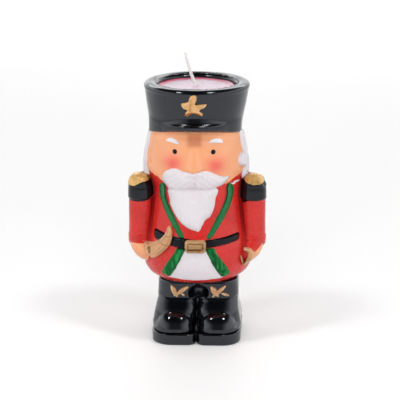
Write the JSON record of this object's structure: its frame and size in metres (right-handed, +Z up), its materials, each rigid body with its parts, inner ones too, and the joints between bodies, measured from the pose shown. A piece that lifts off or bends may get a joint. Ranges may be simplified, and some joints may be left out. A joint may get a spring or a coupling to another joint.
{
  "type": "nutcracker figure candle",
  "caption": "Glazed ceramic toy-soldier nutcracker figure standing in boots, its tall open hat a cup filled with wax and a wick.",
  "frame": {"origin": "centre of the footprint on the plane the soles stand on", "axes": "+Z up through the hat; the figure faces -Y; +X is the figure's own left"},
  "size_m": [0.0738, 0.0607, 0.1542],
  "materials": {
    "wax_pink": "satin",
    "wick_cotton": "matte",
    "tinplate": "satin",
    "adhesive": "satin",
    "glaze_black": "gloss",
    "glaze_skin": "gloss",
    "glaze_white": "gloss",
    "glaze_red": "gloss",
    "glaze_green": "gloss",
    "paint_gold": "satin"
  },
  "bodies": {
    "root": {"wax_fill": "wax_pink", "wick": "wick_cotton", "wick_sustainer": "tinplate", "sustainer_adhesive": "adhesive", "hat_shell": "glaze_black", "hat_peak": "glaze_black", "hat_star": "paint_gold", "head": "glaze_skin", "nose": "glaze_skin", "left_eye": "glaze_black", "right_eye": "glaze_black", "left_eyebrow": "glaze_white", "right_eyebrow": "glaze_white", "left_ear": "glaze_skin", "right_ear": "glaze_skin", "moustache": "glaze_white", "beard": "glaze_white", "hair": "glaze_white", "coat": "glaze_red", "left_sleeve": "glaze_red", "right_sleeve": "glaze_red", "left_cuff": "glaze_red", "right_cuff": "glaze_red", "left_epaulette": "glaze_black", "right_epaulette": "glaze_black", "left_epaulette_crown": "paint_gold", "right_epaulette_crown": "paint_gold", "left_hand": "glaze_skin", "right_hand": "glaze_skin", "left_lapel_trim": "glaze_green", "right_lapel_trim": "glaze_green", "left_skirt_trim": "glaze_green", "right_skirt_trim": "glaze_green", "shirt_front": "glaze_white", "belt_front": "glaze_black", "belt_back": "glaze_black", "belt_buckle": "paint_gold", "horn": "paint_gold", "hilt_guard": "paint_gold", "left_boot": "glaze_black", "right_boot": "glaze_black", "left_toe_cap": "glaze_black", "right_toe_cap": "glaze_black", "left_sole": "glaze_black", "right_sole": "glaze_black", "left_boot_bow": "paint_gold", "right_boot_bow": "paint_gold"}
  },
  "joints": []
}
